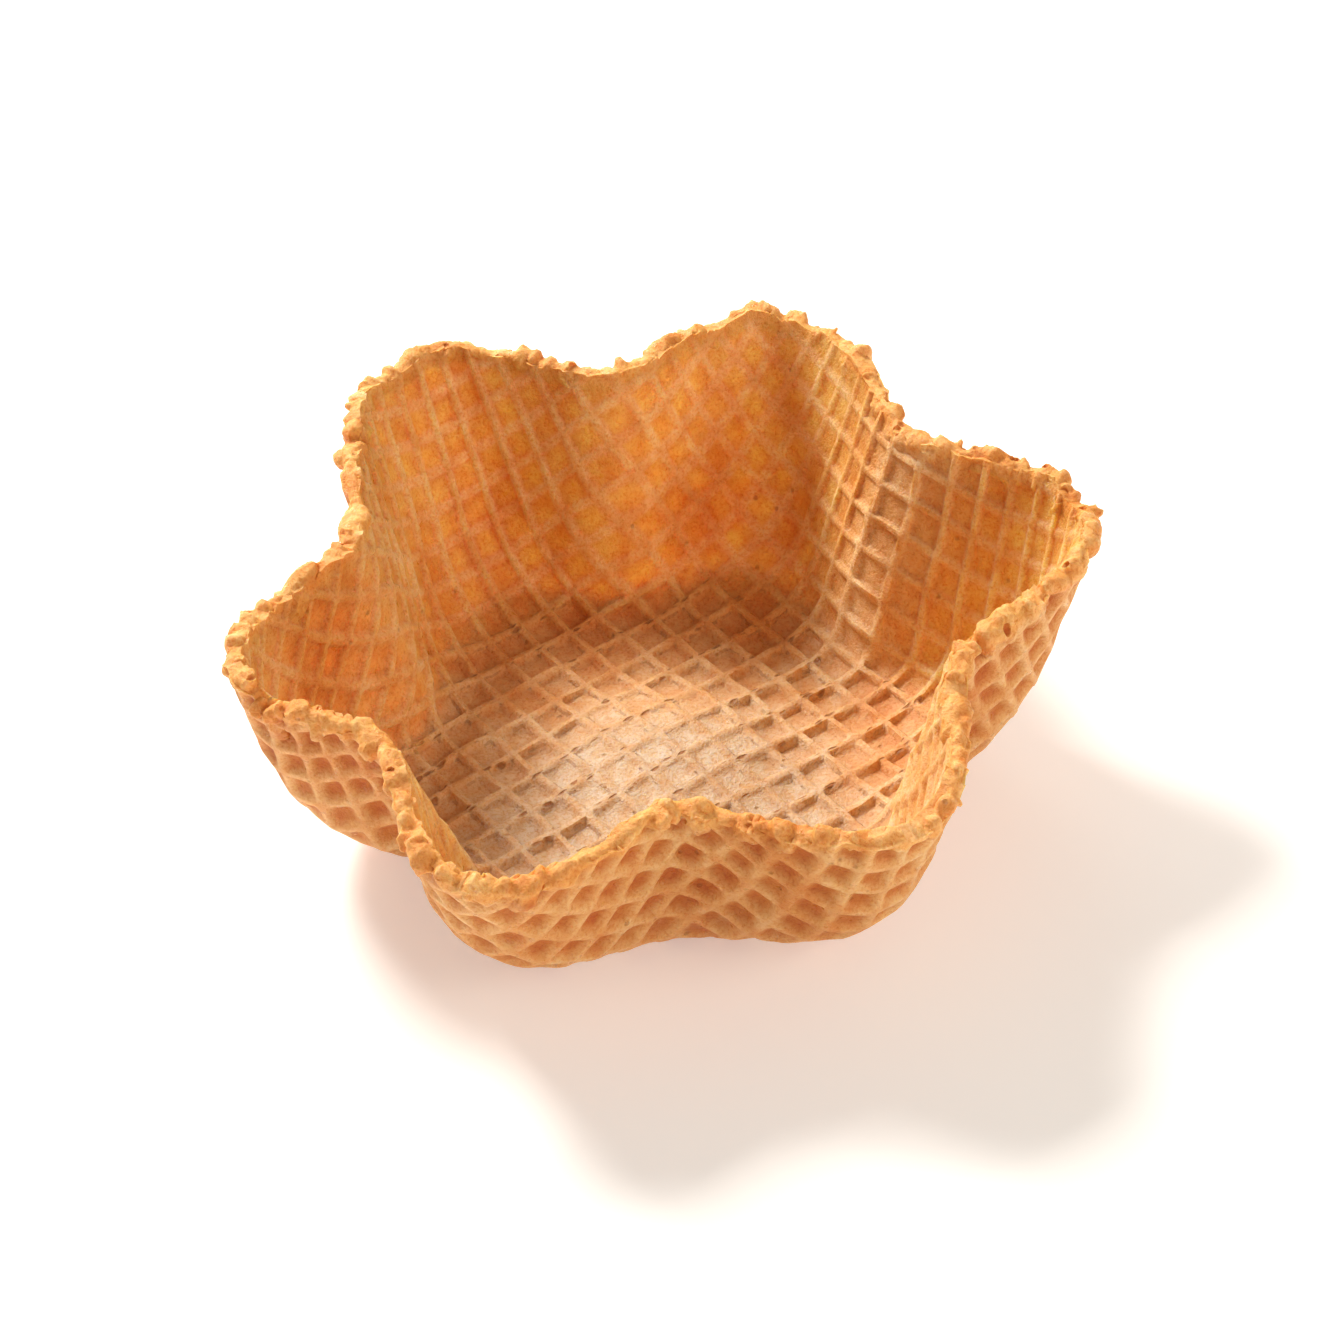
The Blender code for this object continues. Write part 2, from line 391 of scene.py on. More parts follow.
# %% [markdown]
# ## The ragged edge
# Where the batter ran out between the plates it froze as lumps: a long one at the end of most
# ridges, swellings between them, and where the edge broke, angular chunks, thin flakes and
# crumbs. Each kind is a primitive of a few faces, stretched and turned by chance and set along a
# thin roll that follows the outline. Sculpting would do it by hand, but could not be run again.

# %% Roll that follows the outline
ROLL_INSET = 0.7  # of its middle, from the outline
ROLL_WIDTH, ROLL_HEIGHT = 1.1, 1.3  # half of each, in mm
deselect()
bpy.ops.mesh.primitive_torus_add(
    major_segments=900, minor_segments=12, major_radius=RING, minor_radius=1.0
)
edge = bpy.context.object
edge.name = "ragged_edge"
x, y, z = read(edge.data, "co").T
around = np.arctan2(y, x)
radius = outline(around) - ROLL_INSET + ROLL_WIDTH * (np.hypot(x, y) - RING)
roll = np.stack([radius * np.cos(around), radius * np.sin(around), z * ROLL_HEIGHT], 1)
edge.data.vertices.foreach_set("co", roll.ravel())
print("roll:", len(roll), "points")


# %% Where the ridges end
def ridge_ends():
    """Where lattice lines meet the outline: direction from the middle, and heading of the line."""
    angle = np.linspace(-np.pi, np.pi, 7201)
    radius = outline(angle)
    found = []
    families = flat_to_lattice(radius * np.cos(angle), radius * np.sin(angle))
    for part, heading in zip(families, (TURN + math.pi / 2.0, TURN)):
        for place in angle[:-1][np.diff(np.floor(part)) != 0]:
            found.append((float(place), heading))
    return sorted(found)


def brokenness(angle):
    """How broken the edge is in this direction, from 0 to 1."""
    return round_the_cup(RIM, 5, flute_angle(angle))


print("ridge ends:", len(ridge_ends()))

# %% Lumps, chunks, flakes and crumbs
# Half-length, half-width and half-thickness in mm: the least and the most of each.
RIDGE_END = ((2.2, 3.4), (1.5, 2.1), (1.6, 2.2))
SWELLING = ((1.5, 2.4), (2.8, 5.2), (1.5, 2.2))
FLAKE = ((1.2, 2.2), (0.7, 0.95), (1.2, 2.0))
SWELLINGS, CHUNKS, FLAKES, CRUMBS = 60, 110, 26, 80
RIDGES_WITHOUT = 0.3  # share of the ridges that end in no lump
rng = np.random.default_rng(5)
lumps = []


def lump(angle, tip, depth, size, turned, roundness):
    """A lump whose tip stands this far past the outline. Size is its half-length, half-width
    and half-thickness, and roundness the number of subdivisions."""
    heading = turned[2] - angle
    reaches = math.hypot(size[0] * math.cos(heading), size[1] * math.sin(heading))
    radius = float(outline(np.array([angle]))[0]) + tip - reaches
    place = (radius * math.cos(angle), radius * math.sin(angle), depth)
    bpy.ops.mesh.primitive_ico_sphere_add(
        subdivisions=roundness, radius=1.0, location=place, rotation=turned, scale=size
    )
    lumps.append(bpy.context.object)


def by_brokenness(count):
    """Directions picked by chance, more of them where the edge is broken."""
    angle = rng.uniform(-np.pi, np.pi, 4 * count)
    return angle[rng.uniform(0.0, 1.0, len(angle)) < 0.15 + 0.85 * brokenness(angle)][:count]


def stoutness(angle):
    """Lumps are smaller where the edge is whole."""
    return 0.7 + 0.6 * float(brokenness(np.array([angle]))[0])


for angle, heading in ridge_ends():
    if rng.random() < RIDGES_WITHOUT:
        continue
    grown = rng.uniform(0.8, 1.4) * stoutness(angle)
    long, wide, thick = [rng.uniform(*span) for span in RIDGE_END]
    size = (grown * long, grown * wide, thick)
    lump(angle, rng.uniform(0.0, 1.8), rng.uniform(-0.8, 0.0), size, (0.0, 0.0, heading), 2)
for angle in rng.uniform(-np.pi, np.pi, SWELLINGS):
    size = np.array([rng.uniform(*span) for span in SWELLING]) * stoutness(angle)
    lump(angle, rng.uniform(0.3, 1.5), rng.uniform(-0.6, 0.1), size, (0.0, 0.0, angle), 2)
for angle in by_brokenness(CHUNKS):
    size = rng.uniform(1.3, 2.5) * rng.uniform(0.7, 1.2, 3)
    lump(angle, rng.uniform(0.0, 1.8), rng.uniform(-1.7, 0.5), size, rng.uniform(0.0, 3.0, 3), 1)
for angle in by_brokenness(FLAKES):
    size = [rng.uniform(*span) for span in FLAKE]
    turned = (rng.uniform(-0.6, 0.6), rng.uniform(-0.6, 0.6), angle + rng.uniform(-0.7, 0.7))
    lump(angle, rng.uniform(0.3, 1.8), rng.uniform(-1.4, 0.8), size, turned, 1)
for angle in by_brokenness(CRUMBS):
    size = rng.uniform(0.55, 1.0) * rng.uniform(0.8, 1.3, 3)
    lump(angle, rng.uniform(-0.4, 0.9), rng.uniform(-1.6, 1.0), size, rng.uniform(0.0, 3.0, 3), 1)
print("lumps, chunks, flakes and crumbs:", len(lumps))

deselect()
for item in lumps:
    item.select_set(True)
edge.select_set(True)
bpy.context.view_layer.objects.active = edge
bpy.ops.object.join()

# %% [markdown]
# A Remesh modifier melts roll and lumps into one skin. Displace modifiers then swell it like dough
# and crack it like a crust that broke: clouds for the first, Voronoi cells for the second, and
# stronger in the broken stretches, which a vertex group marks.

# %% One rough skin
def finish_with(piece, name, kind, **settings):
    """Adds a modifier, sets it and applies it."""
    modifier = piece.modifiers.new(name, kind)
    for key, value in settings.items():
        setattr(modifier, key, value)
    take(piece)
    bpy.ops.object.modifier_apply(modifier=name)


def roughness_texture(name, kind, size, **settings):
    """A texture for a Displace modifier, with features of this size in mm."""
    texture = bpy.data.textures.new(name, kind)
    texture.noise_scale = size
    for key, value in settings.items():
        setattr(texture, key, value)
    return texture


VOXEL = 0.36  # mm: fine enough for a flake, coarse enough for the count of triangles
swelling = roughness_texture("swelling", "CLOUDS", 2.6, noise_depth=2)
cracks = roughness_texture("cracks", "VORONOI", 3.4, weight_1=-1.0, weight_2=1.0)
crumb = roughness_texture("crumb", "CLOUDS", 0.7, noise_depth=1)
finish_with(edge, "one skin", "REMESH", mode="VOXEL", voxel_size=VOXEL)
finish_with(edge, "soften", "SMOOTH", factor=0.5, iterations=2)
x, y, z = read(edge.data, "co").T
broken = brokenness(np.arctan2(y, x))
group = edge.vertex_groups.new(name="broken")
for index, weight in enumerate(broken):
    group.add([index], 0.4 + 0.6 * float(weight), "REPLACE")
finish_with(edge, "swell", "DISPLACE", texture=swelling, strength=1.0, mid_level=0.5)
finish_with(edge, "crack", "DISPLACE", texture=cracks, strength=0.9, mid_level=0.4, vertex_group="broken")
finish_with(edge, "crumb", "DISPLACE", texture=crumb, strength=0.3, mid_level=0.5, vertex_group="broken")
print("edge:", len(edge.data.vertices), "points")

# %% [markdown]
# Burst bubbles are round hollows. Places on the skin are picked by chance, most of them where the
# edge is broken, and each point within a bubble's radius is moved out to the bubble's wall, which
# leaves a bowl with a lip.

# %% Burst bubbles
BUBBLES_TRIED = 170
BUBBLE_RADII = [0.5, 0.8, 1.1, 1.6]  # mm
BUBBLE_SHARES = [0.4, 0.32, 0.2, 0.08]
FACES_START = 1.9  # mm from the middle of the thickness: the waffle's two faces get no bubbles
skin, normal = read(edge.data, "co"), read(edge.data, "normal")
nearby = KDTree(len(skin))
for index, point in enumerate(skin):
    nearby.insert(point, index)
nearby.balance()
hollow = np.zeros(len(skin))
for _ in range(BUBBLES_TRIED):
    pick = rng.integers(len(skin))
    size = rng.choice(BUBBLE_RADII, p=BUBBLE_SHARES)
    if rng.random() > 0.25 + 0.75 * broken[pick] or abs(skin[pick, 2]) > FACES_START:
        continue
    heart = skin[pick] + 0.25 * size * normal[pick]
    for _, index, distance in nearby.find_range(Vector(heart), size):
        way = skin[index] - heart
        length = np.linalg.norm(way)
        if length < 1e-4 or length > size or normal[index] @ normal[pick] < 0.1:
            continue
        skin[index] = heart + way / length * size
        hollow[index] = max(hollow[index], 1.0 - distance / size)
edge.data.vertices.foreach_set("co", skin.ravel())
edge.data.update()
print("points in bubbles:", int((hollow > 0).sum()))

# %% [markdown]
# ## One piece of waffle
# Light travels inside baked dough, so the sheet and its edge have to be one closed skin with
# nothing buried inside. A Boolean union joins them while they are still flat.

# %% Union of sheet and edge
def mark(mesh, name, values):
    """Stores a number for each point, for the material to read."""
    attribute = mesh.attributes.get(name) or mesh.attributes.new(name, "FLOAT", "POINT")
    attribute.data.foreach_set("value", np.asarray(values, np.float32))


mark(edge.data, "hollow", hollow)
mark(sheet.data, "hollow", np.zeros(len(sheet.data.vertices)))
finish_with(edge, "thin out", "DECIMATE", ratio=0.5)
for piece in (sheet, edge):
    take(piece)
    bpy.ops.object.mode_set(mode="EDIT")
    bpy.ops.mesh.select_all(action="SELECT")
    bpy.ops.mesh.normals_make_consistent(inside=False)
    bpy.ops.mesh.select_all(action="DESELECT")
    bpy.ops.mesh.select_mode(type="VERT")
    bpy.ops.mesh.select_non_manifold()
    bpy.ops.object.mode_set(mode="OBJECT")
    open_points = sum(vertex.select for vertex in piece.data.vertices)
    piece.data.calc_loop_triangles()
    print(piece.name, "triangles:", len(piece.data.loop_triangles), "points not closed:", open_points)
finish_with(sheet, "join edge", "BOOLEAN", operation="UNION", solver="MANIFOLD", object=edge)
bpy.data.objects.remove(edge, do_unlink=True)

# %% [markdown]
# The finish follows the lattice, so each corner gets its lattice place as a UV map, and each point
# gets attributes: which face of the waffle it is on, how far it is from the edge and from the
# painted pool of key light on the floor, and how much painted light its stretch of wall gets. Then
# the waffle is pressed.

# %% Lattice map, attributes and pressing
# Middle of the painted pool of key light on the floor. The floor is paler round it and browner further
# off, towards the back: painted light and painted shade.
LIT_FLOOR_AT = (1.0, -18.0)  # middle of the pale floor, towards the front
DEPTHS = (-3.0, 2.6)  # mm: lumps that stand out further are cut back
x, y, z = read(sheet.data, "co").T
around = np.arctan2(y, x)
warp_x, warp_y = sideways(x, y)
a, b = flat_to_lattice(x - warp_x, y - warp_y)
loops = np.empty(len(sheet.data.loops), int)
sheet.data.loops.foreach_get("vertex_index", loops)
layer = sheet.data.uv_layers.active or sheet.data.uv_layers.new(name="lattice")
layer.name = "lattice"
layer.data.foreach_set("uv", np.stack([a[loops], b[loops]], 1).astype(np.float32).ravel())
mark(sheet.data, "inside_face", step(-0.5, 0.5, z))
mark(sheet.data, "from_edge", outline(around) - np.hypot(x, y))
# Painted light: how strongly the lamps' light is painted into each stretch of the wall's inside as a
# paler crust.
mark(sheet.data, "painted_wall_light", round_the_cup(RIM, 6, flute_angle(around)) ** 2)
mark(sheet.data, "from_lit_floor", np.hypot(x - LIT_FLOOR_AT[0], y - LIT_FLOOR_AT[1]))
pressed = press(np.stack([x, y, np.clip(z, *DEPTHS)], 1))
pressed[:, 2] = np.maximum(pressed[:, 2], 0.0)
sheet.data.vertices.foreach_set("co", pressed.ravel())
sheet.data.update()

take(sheet)
bpy.ops.object.mode_set(mode="EDIT")
bpy.ops.mesh.select_all(action="SELECT")
bpy.ops.mesh.normals_make_consistent(inside=False)
bpy.ops.object.mode_set(mode="OBJECT")
bpy.ops.object.shade_smooth_by_angle(angle=math.radians(55.0))
sheet.data.calc_loop_triangles()
print("waffle:", len(sheet.data.loop_triangles), "triangles")

# %% [markdown]
# Creases get painted shade and crests a painted highlight. A point is in a crease when its
# neighbours stand above it along its normal, so that is measured over the edges.

# %% Creases and crests
crust_at, normal = read(sheet.data, "co"), read(sheet.data, "normal")
count = len(crust_at)
ends = np.empty(len(sheet.data.edges) * 2, int)
sheet.data.edges.foreach_get("vertices", ends)
ends = np.concatenate([ends.reshape(-1, 2), ends.reshape(-1, 2)[:, ::-1]])
start, end = ends.T
way = crust_at[end] - crust_at[start]
way /= np.maximum(np.linalg.norm(way, axis=1), 1e-6)[:, None]
neighbours = np.maximum(np.bincount(start, minlength=count), 1)
crease = np.bincount(start, (way * normal[start]).sum(axis=1), count) / neighbours
for _ in range(2):
    crease = 0.5 * crease + 0.5 * np.bincount(start, crease[end], count) / neighbours
mark(sheet.data, "crease", crease)
print("crease, middle 90 percent:", np.round(np.percentile(crease, (5, 50, 95)), 2))

# %% [markdown]
# ## The baked finish
# The cup is baked waffle: a dry, matt crust full of tiny bubbles, which light enters and leaves
# again a few millimetres away, redder than it went in. That is why the walls glow amber where the
# light comes from behind. An image of a real waffle would be quicker, but a net of nodes that
# follows the lattice has no seams and no fixed size.

# %% Colours and a node helper
def linear(hex_colour):
    """An sRGB hex colour as linear red, green, blue and alpha."""
    parts = [int(hex_colour[i : i + 2], 16) / 255.0 for i in (1, 3, 5)]
    return [p / 12.92 if p <= 0.04045 else ((p + 0.055) / 1.055) ** 2.4 for p in parts] + [1.0]


def add(tree, kind, inputs=None, **settings):
    """Adds one node. Settings are its own properties, and each input, by name or number, is
    given a constant or the output of another node."""
    node = tree.nodes.new(kind)
    for name, value in settings.items():
        setattr(node, name, value)
    for socket, value in (inputs or {}).items():
        if isinstance(value, bpy.types.NodeSocket):
            tree.links.new(value, node.inputs[socket])
        else:
            node.inputs[socket].default_value = value
    return node


MATHS, MIX, BETWEEN = "ShaderNodeMath", "ShaderNodeMix", "ShaderNodeMapRange"
NOISE, CELLS_OF = "ShaderNodeTexNoise", "ShaderNodeTexVoronoi"
FIRST, SECOND, COLOUR = 6, 7, 2  # the Mix node's sockets for colours
print("caramel as a linear colour:", np.round(linear("#d68e3f"), 3))

# %% [markdown]
# The material needs to know where it is on the waffle: how far from the lattice lines, on which
# face, how far from the edge and how high up the wall. It reads the lattice map, the attributes
# and the height above the table. The more amber the wall, the deeper it is: light goes further
# into it. Where painted light lies on the wall, it is less amber.

# %% Where on the waffle
crust = bpy.data.materials.new("baked_waffle")
crust.use_nodes = True
tree = crust.node_tree
place = add(tree, "ShaderNodeTexCoord").outputs["Object"]
lattice = add(tree, "ShaderNodeUVMap", uv_map="lattice").outputs["UV"]
inside, from_edge, from_lit_floor, painted_wall_light, hollow, crease = [
    add(tree, "ShaderNodeAttribute", attribute_name=name).outputs["Fac"]
    for name in ("inside_face", "from_edge", "from_lit_floor", "painted_wall_light", "hollow", "crease")
]
# Lines wander a little: the lattice is pushed about by 0.3 mm of 2 mm noise.
push = add(tree, NOISE, {"Vector": place, "Scale": 500.0, "Detail": 2.0}).outputs["Color"]
push = add(tree, "ShaderNodeVectorMath", {0: push, 1: (0.5, 0.5, 0.5)}, operation="SUBTRACT")
push = add(tree, "ShaderNodeVectorMath", {0: push.outputs[0], "Scale": 0.11}, operation="SCALE")
shifted = add(tree, "ShaderNodeVectorMath", {0: lattice, 1: push.outputs[0]}).outputs[0]
lines = add(tree, "ShaderNodeSeparateXYZ", {"Vector": shifted}).outputs
# Distance to the lines, in cells: 0 on a ridge, 0.5 in the middle of a pit.
gap_a = add(tree, MATHS, {0: lines["X"], 1: 0.5}, operation="PINGPONG").outputs[0]
gap_b = add(tree, MATHS, {0: lines["Y"], 1: 0.5}, operation="PINGPONG").outputs[0]
gap = add(tree, MATHS, {0: gap_a, 1: gap_b}, operation="MINIMUM").outputs[0]
# From floor to wall, measured from the painted pool of key light, so it starts sooner towards the back,
# where painted shade browns the floor.
on_wall = add(tree, BETWEEN, {"Value": from_lit_floor, "From Min": 20.0, "From Max": 38.0},
              interpolation_type="SMOOTHSTEP").outputs[0]
# The painted pool of key light on the floor.
lit_floor_pool = add(tree, MATHS, {0: 1.0, 1: on_wall}, operation="SUBTRACT").outputs[0]
lit_floor_pool = add(tree, MATHS, {0: lit_floor_pool, 1: inside}, operation="MULTIPLY").outputs[0]
off_rim = add(tree, BETWEEN, {"Value": from_edge, "From Min": 0.8, "From Max": 3.0}).outputs[0]
# Painted light: where it lies, the wall is less amber and its glow shallower.
amber = add(tree, BETWEEN, {"Value": painted_wall_light, "To Min": 1.0, "To Max": 0.15}).outputs[0]
above = add(tree, "ShaderNodeSeparateXYZ", {"Vector": place}).outputs["Z"]
above = add(tree, BETWEEN, {"Value": above, "From Min": 3.4 * MM, "From Max": 8.0 * MM},
            interpolation_type="SMOOTHSTEP").outputs[0]
above = add(tree, MATHS, {0: above, 1: on_wall}, operation="MULTIPLY").outputs[0]
amber = add(tree, MATHS, {0: amber, 1: above}, operation="MULTIPLY").outputs[0]
deep = add(tree, MATHS, {0: amber, 1: inside}, operation="MULTIPLY").outputs[0]
deep = add(tree, MATHS, {0: deep, 1: off_rim}, operation="MULTIPLY").outputs[0]
print("nodes that place the finish:", len(tree.nodes))

# %% [markdown]
# The floor is pale round a pool of key light towards the front and browns towards its back, where
# the back wall shades it: painted light and painted shade. The walls baked to amber, but where the
# lamps light them they are painted a paler cream: painted light. Outside, the ridges are sandy and
# the bottoms of the scoops caramel: painted shade in the hollows and painted glow of light through
# the thinner wall. The broken rim is golden, with painted shade in its hollows and creases and a
# painted highlight on its crests.

# %% Colours of floor, wall, outside and rim
pit = add(tree, BETWEEN, {"Value": gap, "From Min": 0.1, "From Max": 0.22}).outputs[0]
wall_colour = add(tree, MIX, {0: pit, FIRST: linear("#eed197"), SECOND: linear("#e9c771")},
                  data_type="RGBA").outputs[COLOUR]
floor_colour = add(tree, MIX, {0: pit, FIRST: linear("#d9bfa1"), SECOND: linear("#e0d0ba")},
                   data_type="RGBA").outputs[COLOUR]
scoop_a = add(tree, BETWEEN, {"Value": gap_a, "From Min": 0.07, "From Max": 0.36},
              interpolation_type="SMOOTHSTEP").outputs[0]
scoop_b = add(tree, BETWEEN, {"Value": gap_b, "From Min": 0.07, "From Max": 0.36},
              interpolation_type="SMOOTHSTEP").outputs[0]
scoop = add(tree, MATHS, {0: scoop_a, 1: scoop_b}, operation="MULTIPLY").outputs[0]
# The caramel bottoms of the scoops are painted shade in the hollows and painted glow of light through the
# thinner wall.
outer_colour = add(tree, MIX, {0: scoop, FIRST: linear("#ebb878"), SECOND: linear("#d68e3f")},
                   data_type="RGBA").outputs[COLOUR]
# Painted shade: the floor browns towards its back, away from the pool of key light. Where painted light
# lies on the wall, it turns a pale cream instead.
ring_shade_and_light = add(tree, BETWEEN, {"Value": from_lit_floor, "From Min": 38.0, "From Max": 60.0}).outputs[0]
ring_shade_and_light = add(tree, MIX, {0: ring_shade_and_light, FIRST: linear("#efc89a"), SECOND: linear("#e9a050")},
              data_type="RGBA").outputs[COLOUR]
ring_shade_and_light = add(tree, MIX, {0: painted_wall_light, FIRST: ring_shade_and_light, SECOND: linear("#f3d2a8")},
              data_type="RGBA").outputs[COLOUR]
pale_colour = add(tree, MIX, {0: on_wall, FIRST: floor_colour, SECOND: ring_shade_and_light},
                  data_type="RGBA").outputs[COLOUR]
inner_colour = add(tree, MIX, {0: amber, FIRST: pale_colour, SECOND: wall_colour},
                   data_type="RGBA").outputs[COLOUR]
colour = add(tree, MIX, {0: inside, FIRST: outer_colour, SECOND: inner_colour},
             data_type="RGBA").outputs[COLOUR]
rim = add(tree, BETWEEN, {"Value": from_edge, "From Min": 2.6, "From Max": 0.6, "To Max": 0.75},
          interpolation_type="SMOOTHSTEP").outputs[0]
colour = add(tree, MIX, {0: rim, FIRST: colour, SECOND: linear("#fcc06c")},
             data_type="RGBA").outputs[COLOUR]
# Painted shade in the hollows of burst bubbles.
painted_hollow_shade = add(tree, MATHS, {0: hollow, 1: 0.9}, operation="MULTIPLY").outputs[0]
colour = add(tree, MIX, {0: painted_hollow_shade, FIRST: colour, SECOND: linear("#d98a34")},
             data_type="RGBA").outputs[COLOUR]
# How strongly the painted crease shade and crest highlight apply: fully outside and on the rim, half
# inside.
crease_and_crest_weight = add(tree, BETWEEN, {"Value": inside, "To Min": 1.0, "To Max": 0.5}).outputs[0]
crease_and_crest_weight = add(tree, MATHS, {0: crease_and_crest_weight, 1: rim}, operation="MAXIMUM").outputs[0]
# Painted shade in the creases.
painted_crease_shade = add(tree, BETWEEN, {"Value": crease, "From Min": 0.03, "From Max": 0.28}).outputs[0]
painted_crease_shade = add(tree, MATHS, {0: painted_crease_shade, 1: crease_and_crest_weight}, operation="MULTIPLY").outputs[0]
colour = add(tree, MIX, {0: painted_crease_shade, FIRST: colour, SECOND: linear("#e8b56c")},
             data_type="RGBA", blend_type="MULTIPLY").outputs[COLOUR]
# Painted highlight on the crests.
painted_crest_highlight = add(tree, BETWEEN, {"Value": crease, "From Min": -0.04, "From Max": -0.3}).outputs[0]
painted_crest_highlight = add(tree, MATHS, {0: painted_crest_highlight, 1: 0.6}, operation="MULTIPLY").outputs[0]
painted_crest_highlight = add(tree, MATHS, {0: painted_crest_highlight, 1: crease_and_crest_weight}, operation="MULTIPLY").outputs[0]
colour = add(tree, MIX, {0: painted_crest_highlight, FIRST: colour, SECOND: linear("#fcd8a4")},
             data_type="RGBA").outputs[COLOUR]
print("nodes with the colours:", len(tree.nodes))

# %% [markdown]
# Baking browns a waffle in clouds a centimetre wide, drawn out up the wall, with mottling of 2 to
# 3 mm and a crumb of half a millimetre. Each is noise that multiplies the colour by a near white,
# so it darkens without turning the crust to another hue.

# %% Browning, mottling and crumb
tall = add(tree, "ShaderNodeMapping", {"Vector": place, "Scale": (1.0, 1.0, 0.45)}).outputs[0]
clouds = add(tree, NOISE, {"Vector": tall, "Scale": 110.0, "Detail": 3.0}).outputs[0]
mottling = add(tree, NOISE, {"Vector": place, "Scale": 380.0, "Detail": 4.0}).outputs[0]
grain = {"Vector": place, "Scale": 2000.0, "Detail": 3.0, "Roughness": 0.7}
grain = add(tree, NOISE, grain).outputs[0]
browned = add(tree, BETWEEN, {"Value": clouds, "From Min": 0.42, "From Max": 0.68}).outputs[0]
off_floor = add(tree, BETWEEN, {"Value": lit_floor_pool, "To Min": 1.0, "To Max": 0.2}).outputs[0]
browned = add(tree, MATHS, {0: browned, 1: off_floor}, operation="MULTIPLY").outputs[0]
colour = add(tree, MIX, {0: browned, FIRST: colour, SECOND: linear("#f3d8b4")},
             data_type="RGBA", blend_type="MULTIPLY").outputs[COLOUR]
mottled = add(tree, BETWEEN, {"Value": mottling, "From Min": 0.62, "From Max": 0.32}).outputs[0]
colour = add(tree, MIX, {0: mottled, FIRST: colour, SECOND: linear("#f7e0c4")},
             data_type="RGBA", blend_type="MULTIPLY").outputs[COLOUR]
crumbs = add(tree, BETWEEN, {"Value": grain, "From Min": 0.55, "From Max": 0.3}).outputs[0]
colour = add(tree, MIX, {0: crumbs, FIRST: colour, SECOND: linear("#efcfa4")},
             data_type="RGBA", blend_type="MULTIPLY").outputs[COLOUR]
print("nodes with the browning:", len(tree.nodes))

# %% [markdown]
# Steam left the dough through pores. On the floor they are slits of 1 to 2 mm along the ridges that
# run to the back right, and broken seams where a ridge meets a pit. Elsewhere they are pinholes.

# %% Pores
drawn_out = add(tree, "ShaderNodeMapping", {"Vector": shifted, "Scale": (2.4, 6.5, 1.0)}).outputs[0]
slits = add(tree, CELLS_OF, {"Vector": drawn_out, "Scale": 1.0}).outputs
slit = add(tree, BETWEEN, {"Value": slits["Distance"], "From Min": 0.42, "From Max": 0.2}).outputs[0]
luck = add(tree, "ShaderNodeSeparateColor", {"Color": slits["Color"]}).outputs["Red"]
luck = add(tree, MATHS, {0: luck, 1: 0.56}, operation="GREATER_THAN").outputs[0]
by_line = add(tree, BETWEEN, {"Value": gap_b, "From Min": 0.16, "From Max": 0.1}).outputs[0]
slit = add(tree, MATHS, {0: slit, 1: luck}, operation="MULTIPLY").outputs[0]
slit = add(tree, MATHS, {0: slit, 1: by_line}, operation="MULTIPLY").outputs[0]
seam = add(tree, MATHS, {0: gap, 1: 0.14, 2: 0.03}, operation="COMPARE").outputs[0]
torn = add(tree, BETWEEN, {"Value": mottling, "From Min": 0.53, "From Max": 0.6}).outputs[0]
seam = add(tree, MATHS, {0: seam, 1: torn}, operation="MULTIPLY").outputs[0]
seam = add(tree, MATHS, {0: seam, 1: 0.45}, operation="MULTIPLY").outputs[0]
pore = add(tree, MATHS, {0: slit, 1: seam}, operation="MAXIMUM").outputs[0]
flat = add(tree, MATHS, {0: inside, 1: above}, operation="SUBTRACT", use_clamp=True).outputs[0]
pore = add(tree, MATHS, {0: pore, 1: flat}, operation="MULTIPLY").outputs[0]
holes = add(tree, CELLS_OF, {"Vector": place, "Scale": 520.0}).outputs
hole = add(tree, BETWEEN, {"Value": holes["Distance"], "From Min": 0.24, "From Max": 0.12}).outputs[0]
luck = add(tree, "ShaderNodeSeparateColor", {"Color": holes["Color"]}).outputs["Green"]
luck = add(tree, MATHS, {0: luck, 1: 0.95}, operation="GREATER_THAN").outputs[0]
hole = add(tree, MATHS, {0: hole, 1: luck}, operation="MULTIPLY").outputs[0]
hole = add(tree, MATHS, {0: hole, 1: 0.5}, operation="MULTIPLY").outputs[0]
pore = add(tree, MATHS, {0: pore, 1: hole}, operation="MAXIMUM").outputs[0]
stain = add(tree, MATHS, {0: pore, 1: 0.85}, operation="MULTIPLY").outputs[0]
colour = add(tree, MIX, {0: stain, FIRST: colour, SECOND: linear("#a05e28")},
             data_type="RGBA").outputs[COLOUR]
print("nodes with the pores:", len(tree.nodes))

# %% [markdown]
# The crumb is too fine for the mesh, so it is bump: a sandy grain, a softer mottling and the pores.
# Scattered sugar crystals glint, which is a lower roughness on a few small cells.

# %% Grain, glints and the crust itself
sandy = add(tree, MATHS, {0: grain, 1: 0.9}, operation="MULTIPLY").outputs[0]
sandy = add(tree, MATHS, {0: mottling, 1: 0.8, 2: sandy}, operation="MULTIPLY_ADD").outputs[0]
height = add(tree, MATHS, {0: pore, 1: -1.2, 2: sandy}, operation="MULTIPLY_ADD").outputs[0]
bump = add(tree, "ShaderNodeBump", {"Height": height, "Strength": 1.0, "Distance": 0.4 * MM})
sugar = add(tree, CELLS_OF, {"Vector": place, "Scale": 1400.0}).outputs["Color"]
sugar = add(tree, "ShaderNodeSeparateColor", {"Color": sugar}).outputs["Blue"]
glint = add(tree, MATHS, {0: sugar, 1: 0.965}, operation="GREATER_THAN").outputs[0]
roughness = add(tree, BETWEEN, {"Value": glint, "To Min": 0.58, "To Max": 0.25}).outputs[0]

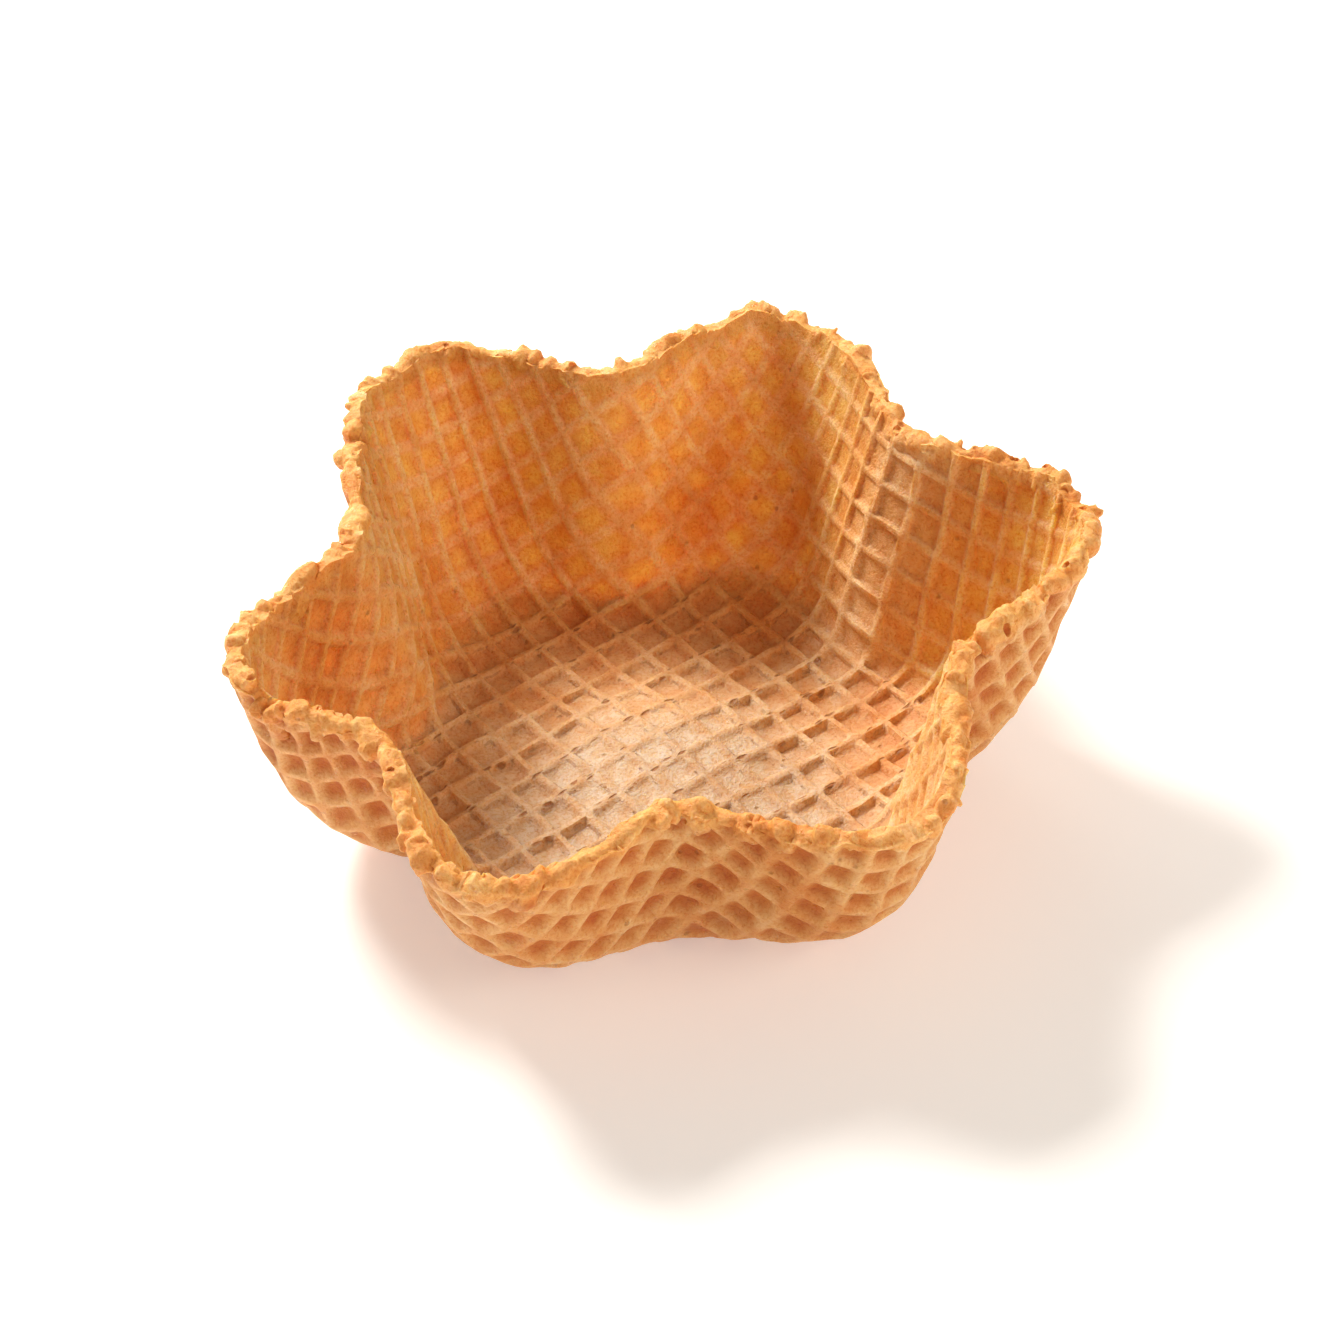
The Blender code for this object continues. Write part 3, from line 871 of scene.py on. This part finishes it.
# Dry crust: matt, with the index of starch. Light travels a few millimetres in the amber walls, red
# furthest, and less than one in the pale or coarse crust of the floor, the rim, the outside and
# where painted light lies on the wall.
share = add(tree, BETWEEN, {"Value": deep, "To Min": 0.45, "To Max": 0.9}).outputs[0]
travel = add(tree, BETWEEN, {"Value": deep, "To Min": 0.8 * MM, "To Max": 4.0 * MM}).outputs[0]
shader = tree.nodes["Principled BSDF"]
tree.links.new(colour, shader.inputs["Base Color"])
tree.links.new(roughness, shader.inputs["Roughness"])
tree.links.new(share, shader.inputs["Subsurface Weight"])
tree.links.new(travel, shader.inputs["Subsurface Scale"])
tree.links.new(bump.outputs["Normal"], shader.inputs["Normal"])
shader.inputs["IOR"].default_value = 1.45
shader.inputs["Specular IOR Level"].default_value = 0.5
shader.inputs["Subsurface Radius"].default_value = (1.0, 0.9, 0.26)
print("nodes in the crust:", len(tree.nodes))

sheet.data.materials.clear()
sheet.data.materials.append(crust)
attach(sheet, "root")
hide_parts("waffle_cup")

# %% [markdown]
# ## Floor, light and camera
# The cup stands on a plain pale floor. A large lamp behind it and to its left gives the lit far
# side of each ridge and the shadow on the back of the floor. A lower one behind makes the back
# walls glow, two weak ones at the right and the front open up the shade, and the pale surroundings
# fill the rest. The camera looks down at forty degrees.

# %% Studio
deselect()
bpy.ops.mesh.primitive_plane_add(size=6.0, location=(0.0, 0.0, 0.0))
floor = bpy.context.object
floor.name = "studio_floor"
paper = bpy.data.materials.new("white_paper_backdrop")
paper.use_nodes = True
matt = paper.node_tree.nodes["Principled BSDF"].inputs  # matt white, a little lit by the room
matt["Base Color"].default_value = linear("#f4f2ef")
matt["Roughness"].default_value = 0.9
matt["Emission Color"].default_value = linear("#ffffff")
matt["Emission Strength"].default_value = 0.3
floor.data.materials.append(paper)

world = bpy.data.worlds.new("studio")
world.use_nodes = True
room = world.node_tree.nodes["Background"].inputs
room["Color"].default_value = linear("#fff1e0")
room["Strength"].default_value = 0.35
bpy.context.scene.world = world
bpy.context.scene.view_settings.view_transform = "Standard"


def lamp(name, azimuth, elevation, distance, size, power, colour):
    """A square lamp aimed at the cup: degrees from +X, degrees up, metres away and wide, watts."""
    a, e = math.radians(azimuth), math.radians(elevation)
    out = Vector((math.cos(a) * math.cos(e), math.sin(a) * math.cos(e), math.sin(e)))
    bpy.ops.object.light_add(type="AREA", location=out * distance)
    light = bpy.context.object
    light.name = name
    light.rotation_euler = out.to_track_quat("Z", "Y").to_euler()
    light.data.size = size
    light.data.energy = power
    light.data.color = linear(colour)[:3]
    print(name, "at", [round(value, 2) for value in light.location])


lamp("key", 129, 45, 0.9, 0.26, 11.2, "#fffdf8")
lamp("right_fill", -25, 28, 0.7, 0.35, 1.6, "#fff8ee")
lamp("back_low", 110, 14, 0.7, 0.4, 1.7, "#ffffff")
lamp("front_low", -85, 5, 0.7, 0.1, 0.4, "#ffffff")

# %% Camera
PICTURE = 1335.0  # width in pixels
FOCAL = 4000.0  # in pixels
PIXELS_IN_MM = 6.67  # at the cup
SEEN_AT = (662.0, 776.0)  # the pixel where the mould's middle is, at the height of the table
DISTANCE = FOCAL / PIXELS_IN_MM * MM
tilt, roll = math.radians(40.0), math.radians(-2.5)
back = Vector((0.0, -math.cos(tilt), math.sin(tilt)))
right = Vector((1.0, 0.0, 0.0))
up = back.cross(right)
across = math.cos(roll) * right + math.sin(roll) * up
upward = -math.sin(roll) * right + math.cos(roll) * up
aim = [(seen - PICTURE / 2.0) / FOCAL * DISTANCE for seen in SEEN_AT]
eye = -aim[0] * across + aim[1] * upward + DISTANCE * back
eye += Vector((CENTRE[0] * MM, CENTRE[1] * MM, 0.0))
camera_data = bpy.data.cameras.new("camera")
camera_data.sensor_width = 36.0
camera_data.lens = FOCAL / PICTURE * camera_data.sensor_width
camera = bpy.data.objects.new("camera", camera_data)
bpy.context.scene.collection.objects.link(camera)
camera.matrix_world = Matrix(
    (
        (across.x, upward.x, back.x, eye.x),
        (across.y, upward.y, back.y, eye.y),
        (across.z, upward.z, back.z, eye.z),
        (0.0, 0.0, 0.0, 1.0),
    )
)
bpy.context.scene.camera = camera
print("camera", round(eye.length, 3), "m from the cup, lens", round(camera_data.lens, 1), "mm")
